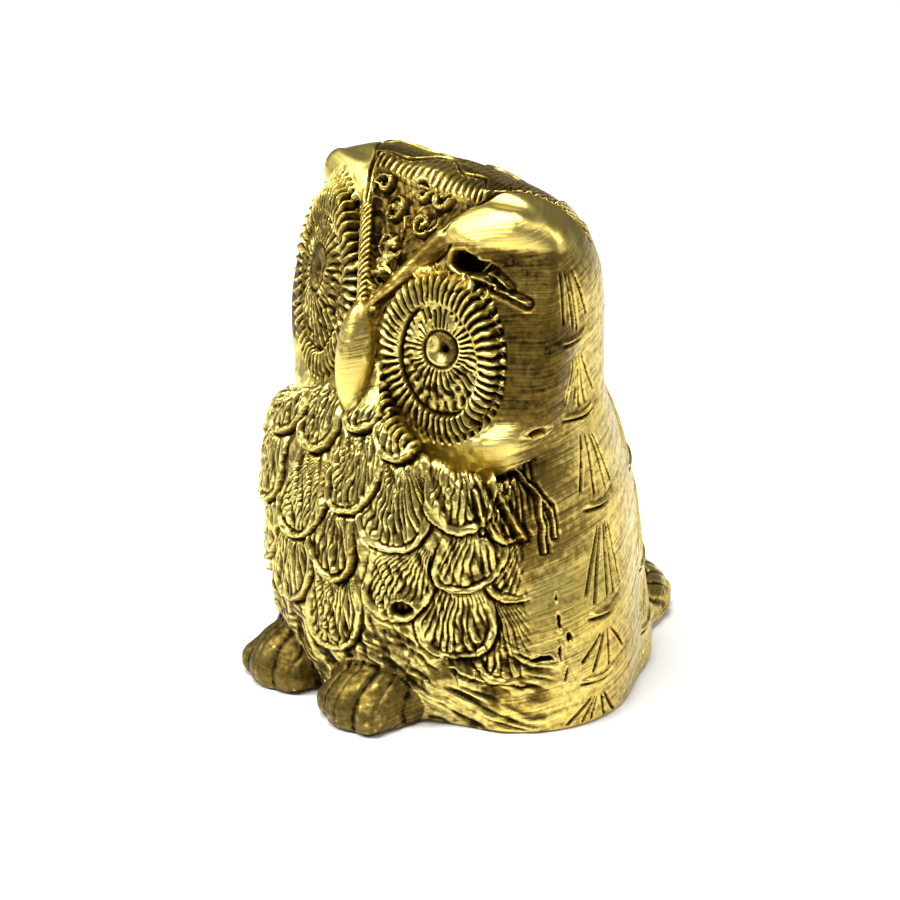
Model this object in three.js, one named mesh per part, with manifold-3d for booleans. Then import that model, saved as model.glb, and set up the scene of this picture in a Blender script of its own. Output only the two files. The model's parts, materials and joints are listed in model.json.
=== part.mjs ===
// Owl figurine: a small cast brass owl, divided along its sculpted borders.
// Millimetres, +Z up. The owl looks along -Y and stands on z = 0, and its own left side is +X.
import * as THREE from 'three';
import { mergeVertices } from 'three/addons/utils/BufferGeometryUtils.js';
import Module from 'manifold-3d';

const wasm = await Module();
wasm.setup();

// ---------- driving dimensions ----------
const GAP = 0.3;                 // clearance between neighbouring pieces
const LEFT = 1;                  // the owl's left side, +X
const RIGHT = -1;
const ROUND = 24;                // segments round a ball or an ellipse
const ROD_ROUND = 12;            // segments round a rod
const FINE_ROUND = 44;           // segments round the body
const BEYOND = 120;              // side of a cutting block, larger than the owl
const MERGE = 1e-4;              // vertices closer than this are one vertex

// Body of revolution, slightly off centre: [radius, height, centre y] from the base up.
const BODY_RINGS = [
  [18.2, 0, 1.9], [18.7, 3, 1.2], [18.7, 8, 0.2], [18.5, 14, -0.4], [18.2, 20, -1.3],
  [17.3, 25, -1.9], [15.6, 29, -1.8], [12.0, 33, -1.0], [6.0, 37.5, 0],
];
const BODY_STEPS = 12;           // rows of facets up the body
const WING_BULGE = { at: [11.0, -0.6, 4.0], r: [10.4, 11.0, 18.0] };
const MANTLE_UPPER = { from: [8.6, 0.4, 41.0], to: [9.2, 0.4, 26.0], r: [7.3, 8.2] };
const MANTLE_LOWER = { from: [9.2, 0.4, 26.0], to: [10.0, 1.5, 9.0], r: [8.2, 9.0] };
const BREAST_TOP = { at: [0, -13.6, 30.5], lean: 18.9 };   // slope that the breast falls back on
const NECK_Z = 26;               // height where head and body part at the sides and back
const NAPE_Y = -5;               // above the neck the body is breast in front of this, nape behind
const WING_ANGLE = 96;           // direction of the middle of a wing, from straight ahead
const WING_PLANE = 15.3;         // distance of a wing's inner face from the upright axis

// Head.
const SKULL = { at: [0, -1.2, 36.0], r: [16.4, 13.2, 14.8] };
const EAR_LUMP = { at: [9.4, -1.9, 42.0], r: [8.4, 8.8, 8.8] };
const FACE_LOBE = { at: [9.5, -4.9, 36.7], r: [9.2, 9.4, 14.3] };
const FACE_TURN = 18;            // how far each half of the face turns outward, in degrees
const FACE_TILT = 3;             // how far it leans back
const EYE_CENTRE = [8.1, -9.0, 35.8];
const CROWN_Z = 46.9;
const FOREHEAD_SLOPE = { at: [0, -11.4, 39.3], lean: 34.7 };   // flat front of the forehead
const FOREHEAD_FOOT_Z = 39.8;
const FOREHEAD_HALF_WIDTH = 6.4;
const FOREHEAD_BACK_Y = -5.0;
const CHEEK_TURN = 40;           // its edge runs down and outward past the eye, in degrees
const CHEEK_OFFSET = 7.7;        // distance of that edge from the eye's centre
const CHEEK_BACK_Y = -2.0;
const CHEEK_INNER_X = 3.4;

// Brow ridge, a bent rod from the bridge of the beak to the ear.
const BROW_START = { at: [1.15, -11.2, 39.3], r: 0.95 };
const BROW_BEND = { at: [8.6, -5.6, 47.1], r: 1.9 };
const BROW_END = { at: [14.4, -2.4, 47.3], r: 2.0 };

// Eye, built flat: across, up and out of the face plane.
const DISC = { across: 6.4, up: 7.8, back: -0.7, front: 1.0 };
const IRIS = { across: 4.2, up: 5.2, back: -0.7, front: 1.25 };
const PUPIL = { r: 1.5, back: -0.7, rim: 0.9, dome: 0.9 };
const EYE_SHIFT = [0.4, 0.1];   // iris and pupil sit off the disc's centre by this much
const SOCKET_DEPTH = 1.0;        // face plane behind the disc's middle

// Beak, a bent rod thickest at its middle.
const BEAK_TOP = { at: [0, -12.2, 38.7], r: 0.9 };
const BEAK_MIDDLE = { at: [0, -12.8, 34.6], r: 1.9 };
const BEAK_TIP = { at: [0, -13.6, 30.1], r: 0.8 };

// Feet and tail.
const FOOT = { at: [5.9, -15.2, 1.8], r: [4.4, 5.6, 4.2] };
const TOE_SPREAD = [-2.4, 0.1, 2.6];
const TOE = { root: [-13.6, 2.2], tip: [-18.9, 1.5], rootSpread: 0.6, tipSpread: 1.15, r: [1.8, 1.5] };
const TAIL = { at: [0, 17.0, 1.6], r: [9.5, 8.8, 4.0] };

// ---------- solids ----------
const radians = THREE.MathUtils.degToRad;
const vector = (a) => new THREE.Vector3(...a);
const onSide = (side, [x, y, z]) => vector([side * x, y, z]);

// A closed geometry as a solid that can be joined and cut.
function solid(geometry) {
  geometry.deleteAttribute('normal');
  geometry.deleteAttribute('uv');
  const merged = mergeVertices(geometry, MERGE);
  const corners = merged.index.array;
  const kept = [];
  for (let i = 0; i < corners.length; i += 3) {
    const [a, b, c] = corners.slice(i, i + 3);
    if (a !== b && b !== c && c !== a) kept.push(a, b, c);
  }
  return new wasm.Manifold(new wasm.Mesh({
    numProp: 3,
    vertProperties: new Float32Array(merged.attributes.position.array),
    triVerts: new Uint32Array(kept),
  }));
}

function meshOf(form) {
  const { vertProperties, triVerts } = form.getMesh();
  const geometry = new THREE.BufferGeometry();
  geometry.setAttribute('position', new THREE.BufferAttribute(vertProperties, 3));
  geometry.setIndex(new THREE.BufferAttribute(triVerts, 1));
  geometry.computeVertexNormals();
  return geometry;
}

const join = (...forms) => forms.reduce((a, b) => a.add(b));
const cut = (form, ...tools) => tools.reduce((a, b) => a.subtract(b), form);
const keep = (form, ...regions) => regions.reduce((a, b) => a.intersect(b), form);

function ellipsoid({ at, r }, side = LEFT, grow = 0) {
  const ball = new THREE.SphereGeometry(1, ROUND, ROUND / 2).rotateX(Math.PI / 2);
  ball.scale(r[0] + grow, r[1] + grow, r[2] + grow);
  const centre = onSide(side, at);
  return solid(ball.translate(centre.x, centre.y, centre.z));
}

// Rod with round ends of radius ra at a and rb at b.
function rod(a, b, ra, rb) {
  const span = a.distanceTo(b);
  const steps = ROD_ROUND / 4;
  const profile = [];
  for (let i = 0; i <= steps; i += 1) {
    const turn = -Math.PI / 2 + (i / steps) * (Math.PI / 2);
    profile.push(new THREE.Vector2(ra * Math.cos(turn), ra * Math.sin(turn)));
  }
  for (let i = 0; i <= steps; i += 1) {
    const turn = (i / steps) * (Math.PI / 2);
    profile.push(new THREE.Vector2(rb * Math.cos(turn), span + rb * Math.sin(turn)));
  }
  profile[0].x = 0;
  profile[profile.length - 1].x = 0;
  const shape = new THREE.LatheGeometry(profile, ROD_ROUND);
  const along = b.clone().sub(a).normalize();
  const turn = new THREE.Quaternion().setFromUnitVectors(new THREE.Vector3(0, 1, 0), along);
  shape.applyQuaternion(turn);
  return solid(shape.translate(a.x, a.y, a.z));
}

const taper = ({ from, to, r }, side, grow = 0) =>
  rod(onSide(side, from), onSide(side, to), r[0] + grow, r[1] + grow);

// Rod bent once, through three marked points.
function bentRod(first, middle, last, side, grow) {
  const [a, b, c] = [first, middle, last].map(({ at }) => onSide(side, at));
  return join(
    rod(a, b, first.r + grow, middle.r + grow),
    rod(b, c, middle.r + grow, last.r + grow),
  );
}

// Everything on the far side of a plane: the side that the normal points to.
function beyond(point, normal) {
  const block = new THREE.BoxGeometry(BEYOND, BEYOND, BEYOND).translate(0, 0, BEYOND / 2);
  const turn = new THREE.Quaternion().setFromUnitVectors(new THREE.Vector3(0, 0, 1), normal);
  block.applyQuaternion(turn);
  return solid(block.translate(point.x, point.y, point.z));
}

const above = (z) => beyond(vector([0, 0, z]), vector([0, 0, 1]));
const below = (z) => beyond(vector([0, 0, z]), vector([0, 0, -1]));
const inFrontOf = (y) => beyond(vector([0, y, 0]), vector([0, -1, 0]));
const behind = (y) => beyond(vector([0, y, 0]), vector([0, 1, 0]));

// ---------- face plane ----------
// Axes of one half of the face: across (outward), up, and out of the face.
function faceAxes(side) {
  const turn = radians(FACE_TURN);
  const tilt = radians(FACE_TILT);
  const out = new THREE.Vector3(
    side * Math.sin(turn) * Math.cos(tilt), -Math.cos(turn) * Math.cos(tilt), Math.sin(tilt),
  );
  const across = new THREE.Vector3(Math.cos(turn), side * Math.sin(turn), 0);
  const up = out.clone().cross(across);
  return { across, up, out, centre: onSide(side, EYE_CENTRE) };
}

const facePoint = (axes, across, up, out) => axes.centre.clone()
  .addScaledVector(axes.across, across)
  .addScaledVector(axes.up, up)
  .addScaledVector(axes.out, out);

// Geometry built in XY with its depth along +Z, set on the face.
function onFace(geometry, axes, across, up, out) {
  const place = new THREE.Matrix4().makeBasis(axes.across, axes.up, axes.out);
  place.setPosition(facePoint(axes, across, up, out));
  return solid(geometry.applyMatrix4(place));
}

function ellipseLine(across, up, shiftAcross = 0, shiftUp = 0) {
  return new THREE.Path().absellipse(shiftAcross, shiftUp, across, up, 0, 2 * Math.PI);
}

function ellipsePlate({ across, up, back, front }, axes, place, hole, grow = 0) {
  const outline = new THREE.Shape().absellipse(0, 0, across + grow, up + grow, 0, 2 * Math.PI);
  if (hole) outline.holes.push(hole);
  const plate = new THREE.ExtrudeGeometry(outline, {
    depth: front - back + 2 * grow, bevelEnabled: false, curveSegments: ROUND,
  });
  return onFace(plate, axes, place[0], place[1], back - grow);
}

// ---------- whole forms, before they are divided ----------
function bodyOfRevolution() {
  const rings = new THREE.CatmullRomCurve3(BODY_RINGS.map(vector)).getPoints(BODY_STEPS);
  const top = rings[rings.length - 1];
  const outline = [
    [0, 0, rings[0].z], ...rings.map((ring) => ring.toArray()), [0, top.y, top.z],
  ].map(vector);
  const lathe = new THREE.LatheGeometry(
    outline.map((ring) => new THREE.Vector2(ring.x, ring.y)), FINE_ROUND,
  ).rotateX(Math.PI / 2);
  const place = lathe.attributes.position;
  for (let i = 0; i < place.count; i += 1) {
    place.setY(i, place.getY(i) + outline[i % outline.length].z);
  }
  return solid(lathe);
}

// Everything in front of a flat slope that leans back, moved out by grow.
function inFrontOfSlope({ at, lean }, grow = 0) {
  const normal = vector([0, -Math.cos(radians(lean)), Math.sin(radians(lean))]);
  return beyond(vector(at).addScaledVector(normal, grow), normal);
}

function headForm(grow) {
  const nape = keep(bodyOfRevolution(), behind(NAPE_Y + GAP - grow));
  const parts = [nape, ellipsoid(SKULL, LEFT, grow)];
  for (const side of [LEFT, RIGHT]) {
    parts.push(
      ellipsoid(EAR_LUMP, side, grow),
      ellipsoid(FACE_LOBE, side, grow),
      taper(MANTLE_UPPER, side, grow),
    );
  }
  const faces = [LEFT, RIGHT].map((side) => {
    const axes = faceAxes(side);
    return beyond(facePoint(axes, 0, 0, grow - SOCKET_DEPTH), axes.out);
  });
  const forehead = inFrontOfSlope(FOREHEAD_SLOPE, grow);
  return cut(join(...parts), ...faces, forehead, below(NECK_Z + GAP - grow));
}

function footForm(side, grow) {
  const toes = TOE_SPREAD.map((spread) => rod(
    onSide(side, [FOOT.at[0] + spread * TOE.rootSpread, ...TOE.root]),
    onSide(side, [FOOT.at[0] + spread * TOE.tipSpread, ...TOE.tip]),
    TOE.r[0] + grow, TOE.r[1] + grow,
  ));
  return cut(join(ellipsoid(FOOT, side, grow), ...toes), below(-grow));
}

const tailForm = (grow) => cut(ellipsoid(TAIL, LEFT, grow), below(-grow));
const browForm = (side, grow) => bentRod(BROW_START, BROW_BEND, BROW_END, side, grow);
const beakForm = (grow) => bentRod(BEAK_TOP, BEAK_MIDDLE, BEAK_TIP, LEFT, grow);
const discForm = (side, grow) => ellipsePlate(DISC, faceAxes(side), [0, 0], null, grow);

// ---------- regions that divide the forms ----------
function wingRegion(side, grow) {
  const turn = radians(WING_ANGLE);
  const outward = vector([side * Math.sin(turn), -Math.cos(turn), 0]);
  return beyond(outward.clone().multiplyScalar(WING_PLANE - grow), outward);
}

function cheekRegion(side, grow) {
  const axes = faceAxes(side);
  const turn = radians(CHEEK_TURN);
  const offset = CHEEK_OFFSET - grow;
  const edge = facePoint(axes, side * offset * Math.sin(turn), -offset * Math.cos(turn), 0);
  const lower = beyond(edge, edge.clone().sub(axes.centre).normalize());
  const outer = beyond(vector([side * (CHEEK_INNER_X - grow), 0, 0]), vector([side, 0, 0]));
  return keep(lower, outer, inFrontOf(CHEEK_BACK_Y + grow));
}

function foreheadRegion(grow) {
  const corner = FOREHEAD_HALF_WIDTH + 2 * grow;
  const wedge = new THREE.Shape([
    new THREE.Vector2(0, FOREHEAD_FOOT_Z - 2 * grow),
    new THREE.Vector2(corner, CROWN_Z - GAP + grow),
    new THREE.Vector2(-corner, CROWN_Z - GAP + grow),
  ]);
  const depth = BEYOND / 2;
  const prism = new THREE.ExtrudeGeometry(wedge, { depth, bevelEnabled: false });
  return solid(prism.rotateX(Math.PI / 2).translate(0, FOREHEAD_BACK_Y + grow, 0));
}

// ---------- finished pieces ----------
const brass = (colour, roughness) =>
  new THREE.MeshStandardMaterial({ color: colour, roughness, metalness: 1 });

const owl = new THREE.Group();

function addPiece(name, form, colour = '#b89a34', roughness = 0.38) {
  const piece = new THREE.Mesh(meshOf(form), brass(colour, roughness));
  piece.name = name;
  owl.add(piece);
}

const sides = [['left', LEFT], ['right', RIGHT]];
const bothSides = (form, grow) => sides.map(([, side]) => form(side, grow));

function addHead() {
  const fittings = [
    ...bothSides(browForm, GAP), ...bothSides(discForm, GAP), beakForm(GAP),
  ];
  const whole = cut(headForm(0), ...fittings);
  addPiece('head', cut(
    whole, above(CROWN_Z - GAP), foreheadRegion(GAP), ...bothSides(cheekRegion, GAP),
  ));
  addPiece('crown', keep(whole, above(CROWN_Z)));
  addPiece('forehead', keep(whole, foreheadRegion(0)), '#8f7626', 0.5);
  for (const [name, side] of sides) {
    addPiece(`${name}_cheek`, keep(whole, cheekRegion(side, 0)), '#c79c3c', 0.28);
    const brow = cut(browForm(side, 0), discForm(side, GAP), beakForm(GAP));
    addPiece(`${name}_brow`, brow, '#cfa544', 0.25);
  }
  addPiece('beak', beakForm(0), '#c79c3c', 0.3);
}

function addEye(name, side) {
  const axes = faceAxes(side);
  const shift = [side * EYE_SHIFT[0], EYE_SHIFT[1]];
  const seat = ellipseLine(IRIS.across + GAP, IRIS.up + GAP, ...shift);
  addPiece(`${name}_eye_disc`, ellipsePlate(DISC, axes, [0, 0], seat), '#9c8430', 0.45);
  const hole = ellipseLine(PUPIL.r + GAP, PUPIL.r + GAP);
  addPiece(`${name}_iris`, ellipsePlate(IRIS, axes, shift, hole), '#8f7626', 0.45);
  const height = PUPIL.rim - PUPIL.back;
  const profile = [new THREE.Vector2(0, 0), new THREE.Vector2(PUPIL.r, 0)];
  const steps = ROUND / 4;
  for (let i = 0; i < steps; i += 1) {
    const turn = (i / steps) * (Math.PI / 2);
    profile.push(new THREE.Vector2(
      PUPIL.r * Math.cos(turn), height + PUPIL.dome * Math.sin(turn),
    ));
  }
  profile.push(new THREE.Vector2(0, height + PUPIL.dome));
  const dome = new THREE.LatheGeometry(profile, ROUND).rotateX(Math.PI / 2);
  addPiece(`${name}_pupil`, onFace(dome, axes, ...shift, PUPIL.back), '#6e5a1c', 0.4);
}

function addBody() {
  const bulges = sides.flatMap(([, side]) => [
    ellipsoid(WING_BULGE, side), taper(MANTLE_LOWER, side),
  ]);
  const revolved = cut(bodyOfRevolution(), inFrontOfSlope(BREAST_TOP));
  const lower = cut(join(revolved, ...bulges), above(NECK_Z), below(0));
  const breast = keep(revolved, above(NECK_Z - 1), inFrontOf(NAPE_Y));
  const whole = cut(
    join(lower, breast), headForm(GAP), beakForm(GAP), ...bothSides(discForm, GAP),
  );
  addPiece('torso', cut(
    whole, ...bothSides(wingRegion, GAP), ...bothSides(footForm, GAP), tailForm(GAP),
  ), '#a88d30', 0.42);
  for (const [name, side] of sides) {
    addPiece(`${name}_wing`, keep(whole, wingRegion(side, 0)), '#bf9a3a', 0.3);
    addPiece(`${name}_foot`, footForm(side, 0), '#7d6820', 0.45);
  }
  addPiece('tail', tailForm(0));
}

addBody();
addHead();
for (const [name, side] of sides) addEye(name, side);

export default owl;
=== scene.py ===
"""A small cast brass owl: one sculpted surface, chased and filed, divided like the CAD nodes.

Lengths inside the script are the owl's own millimetres; they turn into metres when a mesh is made.
The owl looks along -Y, and its own left side is +X. Forms are described for its left side and
mirrored, so most functions take points whose x has been made positive.
"""
import json
from math import cos, radians, sin

import bpy
import numpy as np
from numpy import concatenate as join
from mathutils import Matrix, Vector


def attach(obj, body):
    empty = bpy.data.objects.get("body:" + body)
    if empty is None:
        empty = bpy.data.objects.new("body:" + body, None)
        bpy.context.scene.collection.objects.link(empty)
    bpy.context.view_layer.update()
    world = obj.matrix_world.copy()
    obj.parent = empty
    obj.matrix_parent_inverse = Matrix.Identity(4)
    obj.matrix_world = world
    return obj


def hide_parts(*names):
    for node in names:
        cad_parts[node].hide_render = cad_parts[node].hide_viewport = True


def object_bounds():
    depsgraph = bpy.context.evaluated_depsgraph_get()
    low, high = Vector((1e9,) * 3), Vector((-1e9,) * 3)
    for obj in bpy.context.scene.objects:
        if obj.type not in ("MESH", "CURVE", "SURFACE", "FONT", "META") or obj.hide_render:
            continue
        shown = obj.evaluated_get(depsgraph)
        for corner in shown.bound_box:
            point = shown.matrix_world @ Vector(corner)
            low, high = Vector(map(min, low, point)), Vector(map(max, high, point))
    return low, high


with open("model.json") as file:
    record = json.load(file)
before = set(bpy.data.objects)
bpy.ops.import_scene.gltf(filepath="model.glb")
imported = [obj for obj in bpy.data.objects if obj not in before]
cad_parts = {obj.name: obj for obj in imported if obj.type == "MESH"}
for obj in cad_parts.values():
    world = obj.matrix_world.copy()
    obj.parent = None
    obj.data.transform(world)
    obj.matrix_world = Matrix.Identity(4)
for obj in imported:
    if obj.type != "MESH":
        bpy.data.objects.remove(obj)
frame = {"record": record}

CAD_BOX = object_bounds()
METRES = 0.001
DESIGN_HEIGHT = 50.8
SCALE = (CAD_BOX[1].z - CAD_BOX[0].z) / (DESIGN_HEIGHT * METRES)
UNIT = SCALE * METRES  # one of the owl's own millimetres, in metres
TOP_Z = CAD_BOX[1].z / UNIT
FIT = np.array([0.987, 0.99, 1.0])  # keeps raised tool marks inside the CAD's box


# ---- driving dimensions
GRID = 0.27  # spacing of the first net over the form
BORDER_DEPTH = 0.9  # how far a piece's wall goes in at its border
ARC = 18.0  # millimetres of surface for one radian round the body

# Body of revolution: height, radius, centre y.
BODY_RINGS = np.array([
    [0, 18.2, 1.9], [3, 18.7, 1.2], [8, 18.7, 0.2], [14, 18.5, -0.4], [20, 18.2, -1.3],
    [25, 17.3, -1.9], [29, 15.6, -1.8], [33, 12.0, -1.0], [38, 6.0, 0],
])
BODY_TOP = 36
BREAST_TOP = np.array([0, -13.6, 30.5])  # a point of the plane that the breast is cut to
BREAST_LEAN = radians(18.9)
NECK_Z = 26.0

# Rods: x, y, z and radius at each joint.
MANTLE = ((8.6, 0.4, 41.0, 7.3), (9.2, 0.4, 26.0, 8.2), (10.0, 1.5, 9.0, 9.0))
EAR_RIDGE = (
    (7.2, -5.2, 46.8, 1.8), (10.2, -5.4, 47.6, 2.5), (13.0, -4.6, 48.1, 2.2),
    (14.8, -1.4, 47.0, 1.5),
)
BEAK_MIDDLE = (0, -12.9, 34.5)
BEAK_LEAN = radians(9.7)
FOOT_X = 6.0
TOES = (-2.5, 0.1, 2.7)  # each toe's place across the foot

FACE_TURN = radians(18)
FACE_TILT = radians(3)
EYE = np.array([8.1, -9.0, 35.8])
OUT = np.array([
    sin(FACE_TURN) * cos(FACE_TILT), -cos(FACE_TURN) * cos(FACE_TILT), sin(FACE_TILT),
])
ACROSS = np.array([cos(FACE_TURN), sin(FACE_TURN), 0])
UP = np.cross(OUT, ACROSS)
EYE_LEAN = radians(6)  # the rings' long axes lean out at the bottom

DISC = (6.1, 7.4)  # half-sizes of the eye's outer ring, across and up
RIGHT_RISE = 3.0  # the right eye sits higher and is taller
RIGHT_STRETCH = 1.27
RIGHT_TURN = radians(9)  # it faces nearer to straight ahead, and leans back
RIGHT_TILT = radians(6)
RIGHT_HINGE = (5.0, 4.0)  # how far inward and down the point is that it turns about
RIGHT_LEAN = radians(-13)
RIGHT_DEPTH = 0.25
RIGHT_SHIFT = 1.1  # outward
RIGHT_NARROWING = 0.12
RIGHT_TOP = (0.15, 0.06)  # its top goes outward and narrows, for each millimetre up
IRIS = (4.2, 5.3)
IRIS_SHIFT = (0.3, -0.2)  # iris and pupil sit off the ring's centre
PUPIL_SHIFT = (0.8, 0.9)
PUPIL = 1.3

BRIDGE = np.array([0.7, -11.4, 39.3])  # where the brow's crest starts, over the beak
CREST = np.array([6.3, -5.9, 47.4])  # where it meets the ear's polished facet
FOREHEAD_NORMAL = np.array([0.0, -0.823, 0.569])
FOREHEAD_UP = np.array([0, 0.569, 0.823])
FOREHEAD_BAND = 1.6  # its marks reach this far off its plane
SLOPE_NORMAL = np.array([0.30, -0.86, 0.41])  # plane between the crest and the eye
CREST_WAY = (CREST - BRIDGE) / np.linalg.norm(CREST - BRIDGE)
CREST_SIDE = np.cross(FOREHEAD_NORMAL, CREST_WAY)
FACET_POINT = np.array([9.0, -5.4, 49.3])  # polished front of the ear
FACET_NORMAL = np.array([-0.09, -0.68, 0.73])


# ---- distance functions
def soft_min(a, b, blend):
    h = np.clip(0.5 + 0.5 * (b - a) / blend, 0, 1)
    return b + (a - b) * h - blend * h * (1 - h)


def soft_max(a, b, blend):
    return -soft_min(-a, -b, blend)


def rising(x, low, high):
    t = np.clip((x - low) / (high - low), 0, 1)
    return t * t * (3 - 2 * t)


def falling(x, end, width):
    """One, and down to nought at the end over the last width."""
    return rising(end - x, 0, width)


def bump(distance, width):
    return np.exp(-(distance / width) ** 2)


def ball(p, centre, radii):
    radii = np.array(radii, np.float32)
    q = (p - np.array(centre, np.float32)) / radii
    near = np.sqrt((q * q).sum(-1))
    slope = np.sqrt(((q / radii) ** 2).sum(-1))
    return near * (near - 1) / np.maximum(slope, 1e-6)


def rod(p, a, b, radius_a, radius_b):
    a = np.array(a, np.float32)
    b = np.array(b, np.float32)
    along = b - a
    t = np.clip(((p - a) @ along) / (along @ along), 0, 1)
    gap = p - a - t[..., None] * along
    return np.sqrt((gap * gap).sum(-1)) - (radius_a + (radius_b - radius_a) * t)


def rods(p, joints):
    return [rod(p, a[:3], b[:3], a[3], b[3]) for a, b in zip(joints, joints[1:])]


def turned(a, b, angle):
    """A pair of coordinates once their axes have turned."""
    return a * np.cos(angle) - b * np.sin(angle), b * np.cos(angle) + a * np.sin(angle)


def single(values):
    return values.astype(np.float32)


def curve_through(x, knots_x, knots_y):
    """Smooth curve through knots: a cubic between each pair, flat beyond the ends."""
    slopes = np.gradient(knots_y, knots_x)
    i = np.clip(np.searchsorted(knots_x, x) - 1, 0, len(knots_x) - 2)
    span = knots_x[i + 1] - knots_x[i]
    t = np.clip((x - knots_x[i]) / span, 0, 1)
    rise = t * t * (3 - 2 * t)
    lead = t * (1 - t) ** 2
    tail = t * t * (t - 1)
    return (
        knots_y[i] * (1 - rise) + knots_y[i + 1] * rise
        + span * (slopes[i] * lead + slopes[i + 1] * tail)
    )


# ---- the form
# The last number given to soft_min or soft_max is the width of that joint's fillet.
def torso(p):
    z = p[:, 2]
    radius = curve_through(z, BODY_RINGS[:, 0], BODY_RINGS[:, 1])
    centre = curve_through(z, BODY_RINGS[:, 0], BODY_RINGS[:, 2])
    f = (np.hypot(p[:, 0], p[:, 1] - centre) - radius) * 0.9
    f = soft_max(f, z - BODY_TOP, 3.0)
    slope = (p[:, 2] - BREAST_TOP[2]) * sin(BREAST_LEAN)
    slope = slope - (p[:, 1] - BREAST_TOP[1]) * cos(BREAST_LEAN)
    return soft_max(f, slope, 3.0)


def mantle(q):
    return soft_min(*rods(q, MANTLE), 1.0)


def flank(q):
    return ball(q, (11.0, -0.6, 4.0), (10.4, 11.0, 18.0))


def face_lobe(q):
    return ball(q, (9.5, -4.9, 36.7), (9.2, 9.4, 14.3))


def skull(q):
    core = ball(q, (0, -1.2, 36.0), (16.4, 13.2, 14.8))
    ear = ball(q, (9.4, -1.9, 42.0), (8.4, 8.8, 8.8))
    f = soft_min(core, ear, 3.0)
    return soft_min(f, face_lobe(q), 0.6)


def brow(q):
    """The raised crest from the bridge to the ear."""
    return rod(q, BRIDGE - 0.1 * FOREHEAD_NORMAL, CREST - 0.35 * FOREHEAD_NORMAL, 0.55, 0.95)


def ear_ridge(q):
    return np.minimum.reduce(rods(q, EAR_RIDGE))


def beak(q):
    d = q - np.array(BEAK_MIDDLE, np.float32)
    along = d[:, 2] * cos(BEAK_LEAN) + d[:, 1] * sin(BEAK_LEAN)
    front = d[:, 1] * cos(BEAK_LEAN) - d[:, 2] * sin(BEAK_LEAN)
    return ball(np.stack([d[:, 0], front, along], -1), (0, 0, 0), (1.95, 1.75, 5.3))


def on_face(q, right):
    """Across, up and out of the face plane, from the middle of the eye's ring."""
    d = q - EYE
    inward, down = RIGHT_HINGE
    out, across = turned(d @ OUT, d @ ACROSS + inward, RIGHT_TURN * right)
    out, up = turned(out, d @ UP + down, -RIGHT_TILT * right)
    out = out + RIGHT_DEPTH * right
    across = (across - inward - RIGHT_SHIFT * right) * (1 + RIGHT_NARROWING * right)
    up = (up - down - RIGHT_RISE * right) / (1 + (RIGHT_STRETCH - 1) * right)
    lean = EYE_LEAN + (RIGHT_LEAN - EYE_LEAN) * right
    across, up = turned(across, up, -lean)
    high = np.clip(up - 1, 0, None) * right
    across = (across - RIGHT_TOP[0] * high) * (1 + RIGHT_TOP[1] * high)
    return across, up, out + 0.008 * np.clip(up - 3.5, 0, None) ** 2


def eye_rings(across, up):
    """How far out a point lies: in the outer ring and the iris as shares, and from the pupil."""
    x, y = across - IRIS_SHIFT[0], up - IRIS_SHIFT[1]
    ring = np.hypot(across / DISC[0], up / DISC[1])
    iris = np.hypot(x / IRIS[0], y / IRIS[1])
    return ring, iris, np.hypot(across - PUPIL_SHIFT[0], up - PUPIL_SHIFT[1])


def eye_disc(q, right):
    across, up, out = on_face(q, right)
    ring = (np.hypot(across / DISC[0], up / DISC[1]) - 1) * DISC[0]
    out = out + 0.03 * np.clip(up - 3, 0, None) ** 2
    return soft_max(ring, np.abs(out) - 0.9, 0.7)


def foot(q):
    """A rounded wedge with three toes running out to the front."""
    f = ball(q, (FOOT_X, -15.0, 1.6), (4.7, 6.0, 4.3))
    for spread in TOES:
        root = (FOOT_X + spread * 0.6, -13.6, 2.2)
        tip = (FOOT_X + spread * 1.1, -18.6, 1.5)
        f = soft_min(f, rod(q, root, tip, 1.8, 1.6), 1.0)
    return f


def tail(p):
    return ball(p, (0, 17.0, 1.6), (9.5, 8.8, 4.0))


def mirrored(p):
    return join([np.abs(p[:, :1]), p[:, 1:]], axis=1)


def right_side(p):
    """One on the owl's right side, nought on its left."""
    return (p[:, 0] < 0).astype(np.float32)


def head(q, right):
    f = soft_min(skull(q), mantle(q), 1.5)
    f = soft_max(f, (q - BRIDGE) @ FOREHEAD_NORMAL, 0.5)
    f = soft_max(f, (q - BRIDGE) @ SLOPE_NORMAL, 0.5)
    f = soft_min(f, ear_ridge(q), 1.7)
    f = soft_max(f, (q - FACET_POINT) @ FACET_NORMAL, 0.3)
    _, up, out = on_face(q, right)
    cheek_bulge = 1.2 * rising(-up, 5.5, 8.5)
    f = soft_max(f, out + 0.5 - cheek_bulge, 2.0)
    f = soft_min(f, brow(q), 0.3)
    f = soft_min(f, beak(q), 0.35)
    return soft_min(f, eye_disc(q, right), 0.3)


def body(p, q, right):
    f = soft_min(torso(p), flank(q), 1.5)
    crease = np.minimum(face_lobe(q), eye_disc(q, right)) - 0.45
    f = soft_max(f, -crease, 1.8)
    f = soft_min(f, mantle(q), 2.0)
    f = soft_min(f, foot(q), 0.8)
    return soft_min(f, tail(p), 1.5)


def owl(p):
    q = mirrored(p)
    right = right_side(p)
    f = soft_min(body(p, q, right), head(q, right), 0.4)
    return soft_max(f, -p[:, 2], 0.5)


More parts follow.
